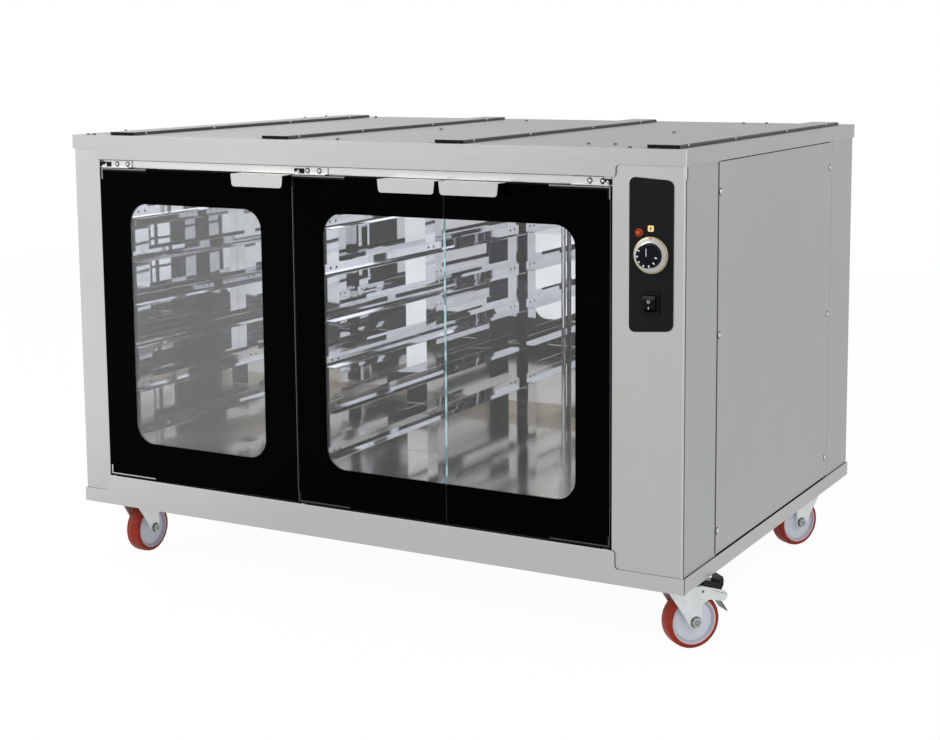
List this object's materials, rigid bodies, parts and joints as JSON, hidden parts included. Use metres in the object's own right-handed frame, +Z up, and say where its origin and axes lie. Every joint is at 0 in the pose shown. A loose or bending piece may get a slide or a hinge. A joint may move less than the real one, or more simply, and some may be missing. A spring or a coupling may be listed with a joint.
{
  "type": "proofing cabinet",
  "caption": "Low heated proofing cabinet on swivel casters, with dark-framed glass doors, tray racks, a control column and top rails for an oven.",
  "frame": {"origin": "on the floor, under the centre of the bounding box, with the casters at rest as modelled", "axes": "+X along the width towards the control column, +Y towards the back, +Z up; the doors face -Y"},
  "size_m": [1.3456, 0.954, 0.874],
  "materials": {
    "satin_steel": "satin stainless sheet, fine brushing",
    "side_steel": "duller satin stainless sheet",
    "liner_steel": "bright stainless sheet",
    "rail_steel": "dark worn stainless channel",
    "door_glass": "tempered glass with a gloss black enamel border and a clear window",
    "zinc": "bright zinc plating",
    "red_tyre": "red polyurethane tread bonded to a white nylon centre",
    "black_plastic": "matte black plastic",
    "pedal_coat": "black coated pressed metal",
    "red_lens": "red translucent lens",
    "ring_metal": "bright ring with a warm cast",
    "heater_sheath": "dark annealed tube",
    "grey_plastic": "grey moulded thermostat body"
  },
  "bodies": {
    "cabinet": {"base_frame": "satin_steel", "floor_pan": "liner_steel", "top_cap": "satin_steel", "left_column": "satin_steel", "right_column": "satin_steel", "hinge_header": "satin_steel", "left_side_panel": "side_steel", "right_rear_panel": "side_steel", "service_panel": "side_steel", "back_panel": "side_steel", "chamber_left_wall": "liner_steel", "chamber_right_wall": "liner_steel", "chamber_back_wall": "liner_steel", "chamber_ceiling": "liner_steel", "top_rail_1": "rail_steel", "top_rail_2": "rail_steel", "top_rail_3": "rail_steel", "top_rail_4": "rail_steel", "rack_left": "liner_steel", "rack_centre": "liner_steel", "rack_right": "liner_steel", "rear_stop_rod": "liner_steel", "hinge_bracket_left": "satin_steel", "hinge_bracket_middle": "satin_steel", "hinge_bracket_right": "satin_steel", "control_plate": "black_plastic", "thermostat_ring": "ring_metal", "thermostat_body": "grey_plastic", "pilot_lamp": "red_lens", "switch_housing": "black_plastic", "heating_element": "heater_sheath", "cable_gland": "black_plastic", "front_right_caster_plate": "zinc", "front_left_caster_plate": "zinc", "rear_right_caster_plate": "zinc", "rear_left_caster_plate": "zinc"},
    "left_door": {"left_door_glass": "door_glass", "left_door_clip_top": "satin_steel", "left_door_clip_bottom": "satin_steel", "left_door_handle": "satin_steel"},
    "middle_door": {"middle_door_glass": "door_glass", "middle_door_clip_top": "satin_steel", "middle_door_clip_bottom": "satin_steel", "middle_door_handle": "satin_steel"},
    "right_door": {"right_door_glass": "door_glass", "right_door_clip_top": "satin_steel", "right_door_clip_bottom": "satin_steel", "right_door_handle": "satin_steel"},
    "knob": {"thermostat_knob": "black_plastic"},
    "switch_rocker": {"rocker": "black_plastic"},
    "front_right_swivel": {"front_right_fork": "zinc"},
    "front_right_roller": {"front_right_wheel": "red_tyre"},
    "front_right_brake": {"front_right_brake_pedal": "pedal_coat"},
    "front_left_swivel": {"front_left_fork": "zinc"},
    "front_left_roller": {"front_left_wheel": "red_tyre"},
    "rear_right_swivel": {"rear_right_fork": "zinc"},
    "rear_right_roller": {"rear_right_wheel": "red_tyre"},
    "rear_left_swivel": {"rear_left_fork": "zinc"},
    "rear_left_roller": {"rear_left_wheel": "red_tyre"},
    "rear_left_brake": {"rear_left_brake_pedal": "pedal_coat"}
  },
  "joints": [
    {"name": "left_door_hinge", "type": "hinge", "parent": "cabinet", "child": "left_door", "pos_m": [-0.5735, -0.449, 0.1883], "axis": [0, 0, -1], "range_deg": [0, 95]},
    {"name": "middle_door_hinge", "type": "hinge", "parent": "cabinet", "child": "middle_door", "pos_m": [-0.11552, -0.449, 0.1883], "axis": [0, 0, -1], "range_deg": [0, 95]},
    {"name": "right_door_hinge", "type": "hinge", "parent": "cabinet", "child": "right_door", "pos_m": [0.5055, -0.449, 0.1883], "axis": [0, 0, 1], "range_deg": [0, 95]},
    {"name": "thermostat_turn", "type": "hinge", "parent": "cabinet", "child": "knob", "pos_m": [0.587, -0.4651, 0.694], "axis": [0, 1, 0], "range_deg": [0, 270]},
    {"name": "rocker_tilt", "type": "hinge", "parent": "cabinet", "child": "switch_rocker", "pos_m": [0.587, -0.4546, 0.615], "axis": [-1, 0, 0], "range_deg": [0, 16]},
    {"name": "front_right_swivel_turn", "type": "hinge", "parent": "cabinet", "child": "front_right_swivel", "pos_m": [0.594, -0.37, 0.115], "axis": [0, 0, 1], "continuous": true},
    {"name": "front_right_wheel_roll", "type": "hinge", "parent": "front_right_swivel", "child": "front_right_roller", "pos_m": [0.61659, -0.34327, 0.05], "axis": [-0.7638, 0.6455, 0], "continuous": true},
    {"name": "front_right_brake_press", "type": "hinge", "parent": "front_right_swivel", "child": "front_right_brake", "pos_m": [0.63789, -0.31806, 0.0985], "axis": [-0.7638, 0.6455, 0], "range_deg": [0, 15]},
    {"name": "front_left_swivel_turn", "type": "hinge", "parent": "cabinet", "child": "front_left_swivel", "pos_m": [-0.594, -0.37, 0.115], "axis": [0, 0, 1], "continuous": true},
    {"name": "front_left_wheel_roll", "type": "hinge", "parent": "front_left_swivel", "child": "front_left_roller", "pos_m": [-0.594, -0.335, 0.05], "axis": [-1, 0, 0], "continuous": true},
    {"name": "rear_right_swivel_turn", "type": "hinge", "parent": "cabinet", "child": "rear_right_swivel", "pos_m": [0.594, 0.36, 0.115], "axis": [0, 0, 1], "continuous": true},
    {"name": "rear_right_wheel_roll", "type": "hinge", "parent": "rear_right_swivel", "child": "rear_right_roller", "pos_m": [0.57703, 0.32939, 0.05], "axis": [0.8746, -0.4848, 0], "continuous": true},
    {"name": "rear_left_swivel_turn", "type": "hinge", "parent": "cabinet", "child": "rear_left_swivel", "pos_m": [-0.594, 0.36, 0.115], "axis": [0, 0, 1], "continuous": true},
    {"name": "rear_left_wheel_roll", "type": "hinge", "parent": "rear_left_swivel", "child": "rear_left_roller", "pos_m": [-0.61659, 0.33327, 0.05], "axis": [0.7638, -0.6455, 0], "continuous": true},
    {"name": "rear_left_brake_press", "type": "hinge", "parent": "rear_left_swivel", "child": "rear_left_brake", "pos_m": [-0.63789, 0.30806, 0.0985], "axis": [0.7638, -0.6455, 0], "range_deg": [0, 15]}
  ]
}
